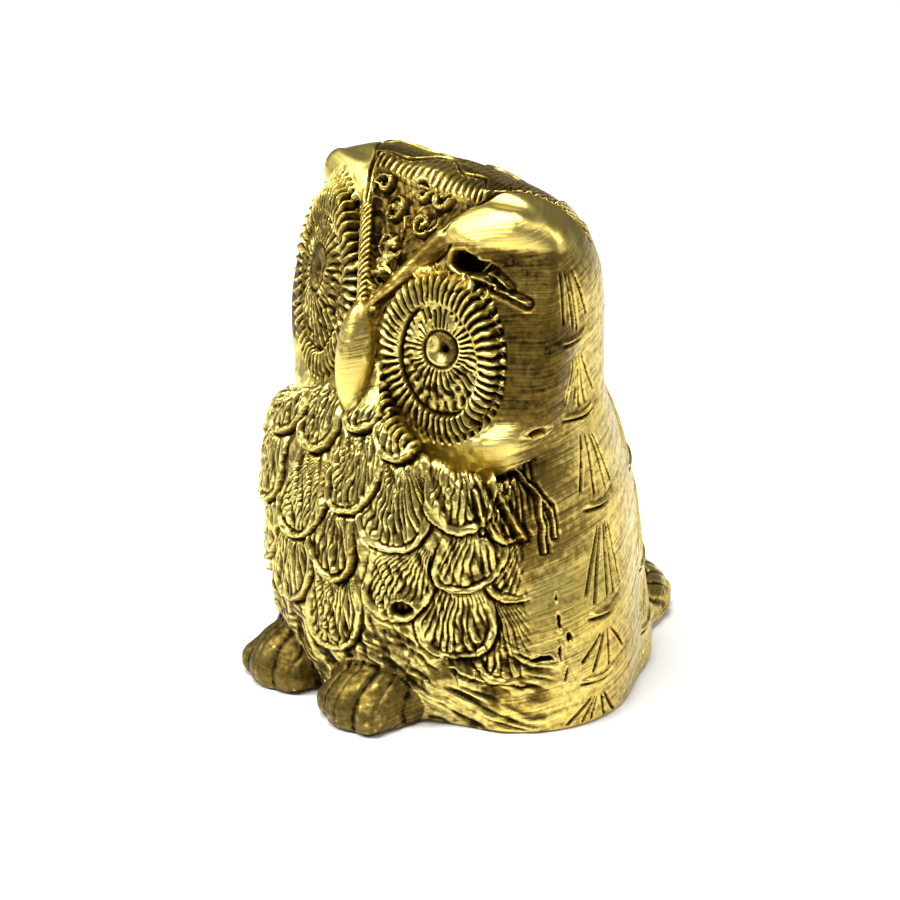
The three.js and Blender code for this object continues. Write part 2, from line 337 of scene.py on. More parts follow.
# ---- from the form to a mesh of quads
def sample(field, low, counts, step):
    """The field on a grid, worked out finely only where the surface is near."""
    block, batch = 4, 200000
    coarse_counts = -(-counts // block)
    middle = (block - 1) / 2 * step
    axes = [low[i] + middle + np.arange(coarse_counts[i]) * block * step for i in range(3)]
    grid = np.stack(np.meshgrid(*axes, indexing="ij"), -1).reshape(-1, 3).astype(np.float32)
    coarse = field(grid).reshape(coarse_counts)
    values = coarse
    for axis in range(3):
        values = np.repeat(values, block, axis=axis)
    values = values[:counts[0], :counts[1], :counts[2]].astype(np.float32)
    near = np.argwhere(np.abs(values) < block * step)
    for start in range(0, len(near), batch):
        cells = near[start:start + batch]
        points = (low + cells * step).astype(np.float32)
        values[tuple(cells.T)] = field(points)
    return values


CORNERS = [(i, j, k) for i in (0, 1) for j in (0, 1) for k in (0, 1)]


def surface_net(values, low, step):
    """Points and quads on the zero level of a grid of distances."""
    inside = values < 0
    cells = [size - 1 for size in values.shape]

    def shifted(array, offset):
        i, j, k = offset
        return array[i:i + cells[0], j:j + cells[1], k:k + cells[2]]

    count = sum(shifted(inside, offset).astype(np.int8) for offset in CORNERS)
    active = (count > 0) & (count < 8)
    where = np.argwhere(active)
    number = np.full(active.shape, -1, np.int64)
    number[active] = np.arange(len(where))
    total = np.zeros((len(where), 3))
    crossings = np.zeros(len(where))
    for a in CORNERS:
        for axis in range(3):
            if a[axis]:
                continue
            b = tuple(v + (i == axis) for i, v in enumerate(a))
            value_a = shifted(values, a)[active]
            value_b = shifted(values, b)[active]
            crossed = (value_a < 0) != (value_b < 0)
            t = np.where(crossed, value_a / np.where(crossed, value_a - value_b, 1), 0)
            point = np.array(a)[None, :] + t[:, None] * np.eye(3)[axis]
            total += np.where(crossed[:, None], point, 0)
            crossings += crossed
    points = low + (where + total / crossings[:, None]) * step
    quads = []
    for axis in range(3):
        one, two = [i for i in range(3) if i != axis]
        first = [slice(1, -1)] * 3
        first[axis] = slice(0, -1)
        second = [slice(1, -1)] * 3
        second[axis] = slice(1, None)
        a, b = inside[tuple(first)], inside[tuple(second)]
        for crossed, flip in ((a & ~b, axis == 1), (b & ~a, axis != 1)):
            at = np.argwhere(crossed)
            at[:, one] += 1
            at[:, two] += 1
            corners = []
            for back_one, back_two in ((1, 1), (0, 1), (0, 0), (1, 0)):
                corner = at.copy()
                corner[:, one] -= back_one
                corner[:, two] -= back_two
                corners.append(number[tuple(corner.T)])
            quad = np.stack(corners, -1)
            quads.append(quad[:, ::-1] if flip else quad)
    return points, join(quads)


def subdivided(points, quads):
    """Each quad as four."""
    ends = np.stack([quads, np.roll(quads, -1, axis=1)], -1).reshape(-1, 2)
    edges, index = np.unique(np.sort(ends, axis=1), axis=0, return_inverse=True)
    middles = len(points) + index.reshape(-1, 4)
    centres = len(points) + len(edges) + np.arange(len(quads))
    points = join([points, points[edges].mean(1), points[quads].mean(1)])
    new = [
        np.stack([quads[:, i], middles[:, i], centres, middles[:, i - 1]], -1)
        for i in range(4)
    ]
    return points, join(new)


def vertex_normals(points, quads):
    corner = points[quads]
    across = np.cross(corner[:, 2] - corner[:, 0], corner[:, 3] - corner[:, 1])
    total = np.stack([
        np.bincount(quads.ravel(), np.repeat(across[:, i], 4), len(points)) for i in range(3)
    ], -1)
    return total / np.maximum(np.linalg.norm(total, axis=1, keepdims=True), 1e-12)


def settled(points, quads, times):
    """Points moved onto the surface along their normals."""
    for _ in range(times):
        normals = vertex_normals(points, quads)
        away = join([
            owl(single(part)) for part in np.array_split(points, 8)
        ])
        points = points - np.clip(away, -GRID, GRID)[:, None] * normals
    return points


def relaxed(values, quads, times):
    """Values evened out over the mesh's edges."""
    ends = np.stack([quads, np.roll(quads, -1, axis=1)], -1).reshape(-1, 2)
    a, b = ends[:, 0], ends[:, 1]
    count = np.bincount(a, minlength=len(values)) + np.bincount(b, minlength=len(values))
    values = values.reshape(len(values), -1)
    for _ in range(times):
        near = np.stack([
            np.bincount(a, column[b], len(values)) + np.bincount(b, column[a], len(values))
            for column in values.T
        ], -1)
        values = (values + near / count[:, None]) / 2
    return values


# ---- seeded noise
NOISE_SIZE = 48
NOISE_FAR = 1000.0
NOISE = np.random.default_rng(11).random((NOISE_SIZE,) * 3).astype(np.float32)


def noise(p, size):
    """Smooth noise from -1 to 1, with bumps about `size` across."""
    q = p / size + NOISE_FAR
    cell = np.floor(q).astype(np.int64)
    t = q - cell
    t = t * t * (3 - 2 * t)
    total = 0
    for corner in CORNERS:
        weight = np.ones(len(p))
        for axis, upper in enumerate(corner):
            weight *= t[:, axis] if upper else 1 - t[:, axis]
        total = total + weight * NOISE[tuple(((cell + corner) % NOISE_SIZE).T)]
    return total * 2 - 1


# ---- chased detail
class Skin:
    """Every point of the surface, with what the chasing tools do to it there."""

    def __init__(self, points, quads):
        self.p = points
        self.q = mirrored(points)
        self.right = right_side(points)
        self.normals = vertex_normals(points, quads)
        self.turn = np.degrees(np.arctan2(points[:, 0], -points[:, 1]))
        self.y = points[:, 1]
        self.z = points[:, 2]
        self.aside = np.abs(self.turn)
        self.around = np.radians(self.turn) * ARC
        self.across, self.up, self.out = on_face(self.q, self.right)
        self.ring, self.iris, self.pupil = eye_rings(self.across, self.up)
        self.head = head(single(self.q), self.right)
        self.foot = foot(single(self.q))
        # This field darkens the colour. It holds tarnish in the cuts and also painted shade.
        self.height, self.patina_and_shade = np.zeros((2, len(points)))

    def add(self, where, height, patina_and_shade=0):
        self.height[where] += height
        self.patina_and_shade[where] = np.maximum(self.patina_and_shade[where], patina_and_shade)


def segment(x, y, start, end):
    """Distance of points from a line between two points, and how far along they lie."""
    dx, dy = end[0] - start[0], end[1] - start[1]
    t = np.clip(((x - start[0]) * dx + (y - start[1]) * dy) / (dx * dx + dy * dy), 0, 1)
    return np.hypot(x - start[0] - t * dx, y - start[1] - t * dy), t


# Breast feathers: direction of each column of tips, and the height of one tip in it.
FEATHER_COLUMNS = (
    (-76, 18.0), (-55, 20.6), (-34, 17.6), (-13, 23.8), (8, 20.6), (29, 25.9), (50, 21.6),
    (66, 12.6),
)
FEATHER_STEP = 7.2
FEATHER_WIDTH = 7.0
FEATHER_LENGTH = 8.0
BREAST_SIDE = 72  # where the feathers end: degrees from the front, and heights
BREAST_LOW = 2.5
BREAST_HIGH = 31


def breast_feathers(skin):
    """Scallops on the breast, each a crescent rim at the tip of a fan of lines."""
    front = (skin.aside < BREAST_SIDE) & (skin.z < BREAST_HIGH) & (skin.z > BREAST_LOW)
    front &= (skin.head > 0.1) & (skin.foot > 0.2)
    index = np.flatnonzero(front)
    p = skin.p[index]
    s = skin.around[index] + 0.45 * noise(p, 2.8) + 0.12 * noise(p, 0.9)
    z = skin.z[index] + 0.45 * noise(p + 50, 2.8) + 0.12 * noise(p + 50, 0.9)
    uneven = 0.75 + 0.45 * noise(p + 90, 2.2)
    slant = s + 0.35 * z
    strokes = noise(np.stack([slant, z * 0.25, s * 0], -1), 0.45)
    height = 0.12 * noise(p, 1.1) + 0.14 * strokes
    dark = 0.35 + 0.45 * rising(-strokes, 0.1, 0.7)
    tips = []
    for column, (turn, level) in enumerate(FEATHER_COLUMNS):
        for row in range(-4, 4):
            tips.append((level + row * FEATHER_STEP, radians(turn) * ARC, column + 8 * row))
    for tip, middle, number in sorted(tips):
        if not 5.0 < tip < 29.0:
            continue
        tip = tip + 0.7 * sin(number * 2.9)
        lean = 0.22 * sin(number * 2.1) + 0.08
        width = FEATHER_WIDTH * (1 + 0.10 * sin(number * 3.7))
        b = z - tip
        a = s - middle - lean * b
        radius = width / 2
        edge = radius - np.where(b < radius, np.hypot(a, b - radius), np.abs(a))
        open_side = 1 - rising(b, 0.9 * radius, 1.7 * radius)
        inside = (edge > 0) & (b < FEATHER_LENGTH)
        outside = (edge <= 0) & (edge > -0.8) & (b < radius * 1.7)
        # Painted shadow: the dip under each feather's rim is also darkened in colour.
        under = bump(edge[outside] + 0.12, 0.26) * open_side[outside]
        height[outside] -= 0.42 * under
        dark[outside] = np.maximum(dark[outside], under)
        e, a, b, share = edge[inside], a[inside], b[inside], open_side[inside]
        rise = 0.55 * (1 - b / FEATHER_LENGTH)
        rim_width = 0.12 + 0.13 * share
        worn = share * np.clip(0.55 + 0.9 * noise(p[inside] + 33, 1.6), 0.1, 1.2)
        rim = 0.24 * worn * bump(e - 0.28, rim_width) - 0.30 * worn * bump(e - 0.72, 0.15)
        fan = np.arctan2(a - 1.4 * sin(number), FEATHER_LENGTH - b + 2.6) * 38
        lines = np.abs(np.cos(fan + 0.9 * strokes[inside] + number)) ** 5
        lines = lines * rising(e, 0.6, 1.0) * uneven[inside]
        height[inside] = rise + rim - 0.30 * lines + 0.24 * strokes[inside]
        groove = worn * bump(e - 0.72, 0.18)
        ground = 0.22 + 0.50 * rising(-strokes[inside], 0.15, 0.6) * (e > 0.7)
        dark[inside] = np.maximum(np.maximum(0.95 * groove, 0.85 * lines), ground)
    fade = falling(z, BREAST_HIGH, 1.5) * falling(skin.aside[index], BREAST_SIDE, 8)
    fade = fade * rising(z, BREAST_LOW, 7.0) * rising(skin.head[index], 0.15, 0.9)
    skin.add(index, height * fade, dark * fade)


def rough_hatching(skin):
    """Uneven slanted cuts over the thighs and the lower belly, and a recess under the thigh,
    painted dark as shade.
    """
    low = falling(skin.z, 12, 4) * falling(skin.aside, 80, 12)
    low *= rising(skin.foot, 0.3, 0.9)
    index = np.flatnonzero(low > 0.01)
    p = skin.p[index]
    s = skin.around[index]
    bent = s * 0.5 + 0.8 * noise(p + 60, 2.5)
    slanted = np.stack([bent + p[:, 2] * 0.9, p[:, 2] * 0.18 - bent * 0.12, s * 0 + 3], -1)
    strokes = noise(slanted, 0.36)
    blobs = noise(p, 1.5)
    dark = np.maximum(rising(-strokes, 0.1, 0.6), rising(-blobs, 0.2, 0.7))
    skin.add(index, low[index] * (0.20 * strokes + 0.30 * blobs - 0.1), low[index] * dark)
    fold = 7.0 + 0.10 * (skin.aside[index] - 38) + 0.5 * np.sign(noise(p + 20, 1.3))
    reach = bump(skin.aside[index] - 48, 13)
    # Painted shade: the recess under the thigh's hem is darkened in colour as well as cut in.
    under = bump(p[:, 2] - fold + 1.3, 1.3) * reach
    skin.add(index, -0.45 * under + 0.3 * bump(p[:, 2] - fold - 0.4, 0.4) * reach, 0.8 * under)


# Side feathers: direction of the first column at each height, columns on the left and on the
# right, and the height of each arc.
COLUMN_Z = np.array([1, 6, 11, 21, 31, 38, 46], float)
COLUMN_TURN = np.array([88, 91, 94, 98, 92, 88.5, 84], float)
COLUMN_STEP = 38
COLUMN_COUNTS = ((1, 3), (-1, 2))
ARC_LEVELS = (46.4, 37.9, 29.9, 20.8, 10.6, 4.4, -2.0)


def side_feathers(skin):
    """Columns of fanned grooves, each fan closed by an upturned arc, round the sides and back."""
    centre = curve_through(skin.z, COLUMN_Z, COLUMN_TURN)
    for side, columns in COLUMN_COUNTS:
        for column in range(columns):
            turn = centre + COLUMN_STEP * column
            difference = (skin.turn * side - turn + 180) % 360 - 180
            radius = np.hypot(skin.p[:, 0], skin.y)
            a = np.radians(difference) * radius
            index = np.flatnonzero((np.abs(a) < 5) & (skin.z > 0.4) & (skin.z < 48))
            for number, (top, arc) in enumerate(zip(ARC_LEVELS[:-1], ARC_LEVELS[1:])):
                one_fan(skin, index, a[index], top, arc, number + 7 * column)


def one_fan(skin, index, a, top, arc, number):
    z = skin.z[index]
    near = (z < top) & (z > arc - 2.5)
    index, a, z = index[near], a[near], z[near]
    strength = rising(-skin.out[index], 1.6, 3.2)
    lines = 4 + number % 2
    half_top, half_bottom = 0.65, 1.7 + 0.045 * max(0, 38 - arc)
    for line in range(lines):
        share = line / (lines - 1) * 2 - 1
        sway = 0.3 * sin(number * 5.1 + line * 2.3)
        start = (share * half_top + sway * 0.3, top - 1.2 - 0.6 * abs(sway))
        end = (share * half_bottom + sway, arc + 1.0 + 0.9 * share * share + sway)
        away, t = segment(a, z, start, end)
        taper = rising(t, 0.0, 0.2) * rising(1 - t, 0.0, 0.12)
        cut = bump(away, 0.09 + 0.07 * t) * taper * strength
        lip = bump(away - 0.26, 0.12) * taper * strength
        skin.add(index, 0.07 * lip - 0.34 * cut, cut)
    rise = arc + 0.03 * a * a + 0.13 * np.clip(a, 0, None) ** 2
    reach = falling(np.abs(a), 3.0, 1.6) * strength
    below = z - rise
    shine = 0.26 * bump(below - 0.28, 0.20) - 0.34 * bump(below + 0.06, 0.15)
    skin.add(index, reach * shine, reach * bump(below + 0.06, 0.17))
    skin.patina_and_shade[index] *= 1 - reach * bump(below - 0.3, 0.22)


# Each blade: direction in degrees and height at its start and at its end, and its half-width.
BLADES = (
    ((66.0, 27.2), (72.0, 24.6), 0.13), ((72.0, 24.6), (79.0, 21.6), 0.14),
    ((74.6, 23.3), (76.4, 18.0), 0.18), ((78.6, 22.0), (79.8, 19.2), 0.11),
    ((60.0, 25.4), (65.5, 21.8), 0.30), ((65.5, 21.8), (69.7, 19.6), 0.42),
    ((55.0, 24.6), (57.5, 20.8), 0.20),
)


def cheek_blades(skin):
    """Frayed feather ends below the cheek, over a recess cut with upright lines."""
    for side in (1, -1):
        turn = skin.turn * side
        index = np.flatnonzero(
            (turn > 48) & (turn < 88) & (skin.z > 14) & (skin.z < 30) & (skin.head > 0.1))
        p = skin.p[index]
        s = skin.around[index] * side + 0.15 * noise(p, 1.2)
        z = skin.z[index] + 0.2 * noise(p + 30, 1.2)
        left = np.radians(54 + (27 - z) * 1.2) * ARC
        right = np.radians(77 - (27 - z) * 0.5) * ARC
        recess = rising(s - left, 0, 0.6) * falling(s, right, 1.2)
        recess = recess * rising(z, 16.5, 20.5) * falling(z, 28.5, 1)
        barbs = np.abs(np.cos(s * 4.2 + z * 0.5 + 0.8 * noise(p, 1.5))) ** 4
        height = -0.40 * recess - 0.24 * recess * barbs
        dark = recess * (0.40 + 0.6 * barbs)
        shine = np.zeros(len(index))
        for start, end, width in BLADES:
            start_s, end_s = radians(start[0]) * ARC, radians(end[0]) * ARC
            away, t = segment(s, z, (start_s, start[1]), (end_s, end[1]))
            ridge = bump(away, width * (1.15 - 0.55 * t))
            shade = bump(away - width - 0.20, 0.16) * (1 - ridge)
            height = height * (1 - ridge) + 0.36 * ridge - 0.26 * shade
            dark = np.maximum(dark * (1 - ridge), shade)
            shine = np.maximum(shine, ridge)
        skin.add(index, height, dark)
        skin.patina_and_shade[index] *= 1 - 0.9 * shine


OUTER_TEETH = 25  # half of the cuts round the outer ring, and round the iris
INNER_RAYS = 17


def eyes(skin):
    """Two rings of cut rays round a punched pupil."""
    index = np.flatnonzero((skin.ring < 1.2) & (skin.out > -1.6) & (skin.q[:, 0] > 1.5))
    across, up = skin.across[index], skin.up[index]
    ring, iris, pupil = skin.ring[index], skin.iris[index], skin.pupil[index]
    p = skin.p[index]
    angle = np.arctan2(up / DISC[1], across / DISC[0])
    px, py = across - PUPIL_SHIFT[0], up - PUPIL_SHIFT[1]
    ray_angle = np.arctan2(py, px)
    wander = noise(p, 2.2)
    grit = noise(p + 70, 0.7)
    uneven = 0.85 + 0.35 * noise(p + 40, 1.6)

    closed = rising(np.cos(angle - radians(205)), -0.35, 0.25)
    border = 1.0 + 0.03 * wander
    outer = rising(iris, border, border + 0.07) * falling(ring, 1.15, 0.05)
    teeth = np.abs(np.cos((angle + 0.05 * wander + 0.022 * grit) * OUTER_TEETH))
    tooth_cut = (1 - teeth) ** 0.8 * rising(ring + 0.08 * grit, 0.62, 0.80)
    swell = np.sin(np.pi * np.clip((ring - 0.58) / 0.58, 0, 1))
    pegs = rising(ring, 0.9, 1.0) * teeth ** 2
    height = outer * (0.34 * swell - 0.62 * tooth_cut * uneven + 0.20 * pegs)
    dark = outer * np.clip(1.15 * tooth_cut, 0, 1)

    groove = bump((iris - border) * 4.5, 0.20) * closed
    height -= 0.55 * groove
    dark = np.maximum(dark, groove)

    inner = falling(iris, 1.0, 0.05) * rising(pupil, 1.9, 2.2)
    rays = np.abs(np.cos((ray_angle + 0.06 * wander + 0.05 * grit) * INNER_RAYS))
    ray_cut = (1 - rays) ** 0.8 * rising(grit, -0.75, -0.1)
    dome = 0.75 * falling(iris, 1.0, 0.85)
    height += falling(iris, 1.0, 0.05) * dome - inner * 0.42 * ray_cut * uneven
    rough = inner * falling(py, 0.4, 2.5)
    height += 0.16 * rough * noise(p + 15, 0.55)
    dark = np.maximum(dark, inner * np.clip(1.1 * ray_cut, 0, 1))
    dark = np.maximum(dark, rough * rising(-noise(p + 15, 0.55), 0.0, 0.5))

    trench = bump(pupil - 1.75 - 0.15 * wander, 0.26)
    collar = bump(pupil - 1.15, 0.30)
    height += 0.12 * collar - 0.38 * trench + 0.08 * grit - 0.45 * falling(pupil, 1.9, 0.9)
    dark = np.maximum(dark * (1 - 0.8 * collar), 0.95 * trench)
    pit = np.hypot(px - 0.15, py + 0.05)
    height -= 1.1 * bump(pit, 0.50)
    dark = np.maximum(dark, bump(pit, 0.62))
    shadow = rising(px + 0.5 * py + 0.5 * grit, -0.3, 0.4) * falling(pupil, 2.1, 0.5)
    dark = np.maximum(dark, 0.8 * shadow)
    # The right eye's ground is painted darker than the left eye's, as shade.
    ground = 0.16 + 0.22 * wander ** 2 + 0.42 * skin.right[index]
    skin.add(index, height, np.maximum(dark, ground * (ring < 1.05)))


def brow_hatching(skin):
    """Slanted file cuts on the right brow's crest; a smooth left brow with one line, painted dark
    as shade.
    """
    along = (skin.q - BRIDGE) @ CREST_WAY
    rest = skin.q - BRIDGE - along[:, None] * CREST_WAY
    beside = rest @ CREST_SIDE
    width = 0.45 + 0.10 * along
    slope = rising(beside, 0.2, 0.9) * falling(beside, 5.5, 0.5)
    slope = slope * rising(along, -1.0, 0.5) * falling(along, 11.5, 1.0)
    slope *= np.abs(rest @ FOREHEAD_NORMAL) < 2.2
    slope *= rising(skin.ring, 1.02, 1.12)
    # Painted shade: the smooth slope between the crest and each eye is darkened, more on the right.
    skin.patina_and_shade = np.maximum(skin.patina_and_shade, slope * (0.52 + 0.25 * skin.right))
    band = rising(beside, -width - 0.2, -width) * falling(beside, 0.9, 0.3)
    band = band * rising(along, -0.3, 0.6) * falling(along, 10.6, 0.8)
    band *= np.abs(rest @ FOREHEAD_NORMAL) < FOREHEAD_BAND
    index = np.flatnonzero(band > 0.01)
    lines = np.abs(np.cos((along[index] - 0.9 * beside[index]) * 5.2)) ** 3
    lines = lines * skin.right[index]
    lines = np.maximum(lines, (1 - skin.right[index]) * bump(beside[index] + width[index], 0.16))
    # The left brow's smooth band is painted dark as shade; the right one is cut with file lines.
    ground = 0.06 + 0.54 * (1 - skin.right[index])
    skin.patina_and_shade[index] *= 1 - band[index]
    skin.height[index] *= 1 - band[index]
    skin.add(index, band[index] * (0.10 - 0.20 * lines), band[index] * (ground + 0.55 * lines))


# Each rosette: its middle, and its radius.
ROSETTES = (
    (-2.2, -6.1, 46.9, 1.5), (3.1, -4.4, 49.0, 1.5), (2.4, -6.3, 46.7, 1.4),
    (-1.1, -8.0, 44.2, 1.35), (-5.0, -4.9, 48.4, 1.3), (0.4, -4.6, 48.8, 1.2),
)


def forehead(skin):
    """Stippled V between the brows, with curled rosettes."""
    p = skin.p
    level = (skin.q - BRIDGE) @ CREST_WAY
    inner = (BRIDGE[0] + level * CREST_WAY[0]) - skin.q[:, 0]
    wedge = rising(inner, 0.0, 0.5) * rising(level, 0.0, 0.8)
    wedge *= falling(p[:, 1], -4.2, 0.4)
    wedge *= np.abs((skin.q - BRIDGE) @ FOREHEAD_NORMAL) < FOREHEAD_BAND
    index = np.flatnonzero(wedge > 0.01)
    keep = wedge[index]
    grain = noise(p[index], 0.5) + 0.5 * noise(p[index] + 9, 1.1)
    skin.add(index, keep * (0.12 * grain - 0.42),
             keep * (0.72 + 0.28 * rising(-grain, 0, 0.5)))
    for number, (x, y, z, size) in enumerate(ROSETTES):
        away = p[index] - (x, y, z)
        along = away @ FOREHEAD_UP
        distance = np.hypot(away[:, 0], along) + 0.08 * noise(p[index] + 5, 0.8)
        angle = np.arctan2(along, away[:, 0]) + number
        inside = falling(distance, size, 0.2) * keep
        curl = rising(np.cos(distance * 5.6 - angle), -0.1, 0.6)
        lobes = rising(np.abs(np.cos(angle * 2.5 + 0.9 * distance)), 0.10, 0.5)
        petals = bump(distance - 0.70 * size, 0.42) * lobes
        raised = np.maximum(curl * (1 - 0.5 * petals), petals * curl)
        skin.height[index] = skin.height[index] * (1 - inside) + inside * (0.95 * raised - 0.50)
        tarnish = np.clip(0.95 - 1.3 * raised, 0, 1)
        skin.patina_and_shade[index] = skin.patina_and_shade[index] * (1 - inside) + inside * tarnish


EAR_LINE = ((7.5, -4.9), (0.78, -0.627))  # a point of it, and the way out
CROWN_ROW = 4.8  # from one row of feathers to the next


def ear_side(q):
    """Distance in plan outside the line where the lined crown gives way to the bare ear."""
    (x, y), (out_x, out_y) = EAR_LINE
    return (q[:, 0] - x) * out_x + (q[:, 1] - y) * out_y


def crown_lines(skin):
    """Long fine lines sweeping back over the crown in overlapping rows of feathers."""
    edge = ear_side(skin.q)
    top = rising(skin.z, 44.5, 47.0) * rising(-edge, 0.15, 0.45)
    top *= rising(skin.y + 4.4, 0, 0.4)
    index = np.flatnonzero(top > 0.01)
    p = skin.p[index]
    x, y = p[:, 0] + 0.35 * p[:, 1] + 0.12 * noise(p, 1.4), p[:, 1] + 0.3 * noise(p, 3.0)
    row = (y + 0.06 * p[:, 0] ** 2 + 0.9 * np.sin(x * 0.9)) / CROWN_ROW
    within = row - np.floor(row)
    offset = np.floor(row) * 1.3
    lines = np.abs(np.cos((x * (1 + 0.12 * within) + offset) * 3.2)) ** 4
    keep = rising(within, 0.04, 0.22) * rising(1 - within, 0.05, 0.12)
    crease = bump((1 - within) * CROWN_ROW, 0.20) + bump(within * CROWN_ROW, 0.12)
    height = 0.30 * (1 - within) - 0.36 * lines * keep - 0.34 * crease
    dark = np.maximum(0.75 * lines * keep, 0.9 * crease)
    skin.add(index, height * top[index], dark * top[index])
    seam = bump(edge, 0.15) * rising(skin.z, 45.5, 47.0) * (skin.y < 6)
    index = np.flatnonzero(seam > 0.02)
    skin.add(index, -0.35 * seam[index], seam[index])


def tail_and_feet(skin):
    """Fine lines along the tail, and the grooves between the toes."""
    index = np.flatnonzero((tail(single(skin.p)) < 0.5) & (skin.y > 17.5))
    lines = np.abs(np.cos(skin.p[index, 0] * 1.5 * (1 + 0.01 * skin.p[index, 1]))) ** 10
    skin.add(index, -0.22 * lines, 0.7 * lines)
    index = np.flatnonzero((skin.foot < 0.5) & (skin.y < -13.5) & (skin.z < 7))
    p = skin.p[index]
    spread = (skin.q[index, 0] - FOOT_X) / (1.0 + 0.10 * (-14 - p[:, 1])) + 0.12 * noise(p, 1.5)
    lines = np.abs(np.sin((spread - 0.2) * 1.25)) ** 18
    between = np.abs(np.sin((spread - 0.2) * 2.5 + 1.57)) ** 20
    reach = falling(p[:, 1], -14.2, 1.2)
    depth = reach * np.maximum(lines, 0.3 * between)
    skin.add(index, -0.24 * depth, np.maximum(0.95 * depth, 0.74))


# Each pit: its middle, its half-sizes across and up, and its depth.
PITS = (
    ((8.7, -6.2, 44.6), (1.55, 1.05), 2.4), ((10.5, -5.7, 44.4), (1.0, 0.7), 1.8),
    ((17.0, -4.7, 29.8), (1.0, 0.38), 1.2), ((19.8, -6.0, 7.8), (1.1, 0.28), 0.7),
    ((10.4, -15.6, 12.7), (1.2, 0.7), 0.9), ((19.2, -4.1, 13.2), (0.14, 0.6), 0.3),
    ((19.9, -4.2, 11.3), (0.20, 1.0), 0.5), ((20.5, -3.5, 9.6), (0.30, 0.5), 0.4),
    ((20.4, -4.4, 8.0), (0.16, 1.0), 0.4), ((20.7, -4.1, 5.9), (0.14, 0.8), 0.3),
)
# Each burr: x and z of its start and of its end, and its half-width.
BURRS = (
    ((9.3, 42.9), (11.4, 43.9), 0.34), ((11.4, 44.1), (13.4, 42.9), 0.16),
    ((12.2, 42.7), (15.6, 41.9), 0.12), ((10.2, 43.5), (12.2, 43.0), 0.22),
)


def casting_flaws(skin):
    """The hole above the left eye with its curled burrs, small pits and a ragged crack."""
    for centre, (wide, tall), depth in PITS:
        away = skin.p - centre
        index = np.flatnonzero(np.linalg.norm(away, axis=1) < 4)
        away = away[index] + 0.22 * noise(skin.p[index], 0.8)[:, None]
        flat = np.hypot(away[:, 0], away[:, 1])
        distance = np.hypot(flat / wide, away[:, 2] / tall)
        hole = 1 - rising(distance, 0.55, 1.15)
        lip = bump(distance - 1.35, 0.22)
        skin.add(index, -depth * hole + 0.14 * lip, np.minimum(1, 1.4 * hole))
        skin.patina_and_shade[index] *= 1 - 0.7 * lip
    index = np.flatnonzero((skin.p[:, 0] > 8) & (skin.z > 38) & (skin.z < 47) & (skin.y < 0))
    for start, end, width in BURRS:
        away, t = segment(skin.p[index, 0], skin.z[index], start, end)
        ridge = bump(away, width * (1.1 - 0.6 * t))
        shade = bump(away - 0.3 - width, 0.22)
        skin.add(index, 0.50 * ridge - 0.28 * shade, 0.9 * shade * (1 - ridge))
        skin.patina_and_shade[index] *= 1 - ridge


def surface_grain(skin):
    """Fine unevenness, polish on its proud parts, a light streaked tarnish elsewhere, and painted
    shade on the smooth sides and behind the eyes.
    """
    chased = falling(skin.aside, 64, 8) * falling(skin.z, 32, 3)
    eye = falling(skin.ring, 1.15, 0.1)
    chased = np.maximum(chased, eye * (skin.out > -1.5))
    skin.add(slice(None), 0.06 * chased * noise(skin.p, 0.55) + 0.05 * noise(skin.p, 4.0))
    facet = rising(ear_side(skin.q), 0.1, 0.5) * rising(skin.z, 46.2, 47.4)
    facet *= falling(skin.y, 4, 4)
    cheek = falling(skin.z, 31.5, 2.5) * (skin.head < 0.2)
    cheek = cheek * falling(skin.aside, 74, 12) * (1 - eye)
    beak_low = falling(beak(single(skin.q)), 0.4, 0.3)
    beak_low = beak_low * falling(skin.z, 35.5, 2)
    skin.polish = np.clip(np.maximum(facet, np.maximum(cheek, beak_low)), 0, 1)
    smooth = (1 - chased) * (1 - skin.polish)
    # Painted shade: the smooth sides and the head behind the eyes are darkened in colour.
    side = rising(skin.z, 10, 19) * bump(skin.aside - 70, 22)
    shade_behind_eye = rising(skin.z, 29, 36) * rising(skin.out, -7, -2)
    skin.patina_and_shade = np.maximum(skin.patina_and_shade, smooth * (0.66 * side + 0.18 * shade_behind_eye))
    flow = np.stack([skin.around * 0.16, skin.z * 0.5, skin.z * 0], -1)
    skin.patina_and_shade += 0.16 * smooth * noise(flow, 0.8)
    skin.patina_and_shade = np.maximum(skin.patina_and_shade, 0.18 * (1 - skin.polish))
    skin.chased = chased


# ---- dividing the surface like the CAD nodes
WING_TURN = (62, 130)  # degrees from the front
CHEEK_SLANT = radians(40)  # the line in the face plane that the cheek lies under,
CHEEK_AWAY = 7.7  # and its distance from the middle of the eye
CROWN_Z = 46.9


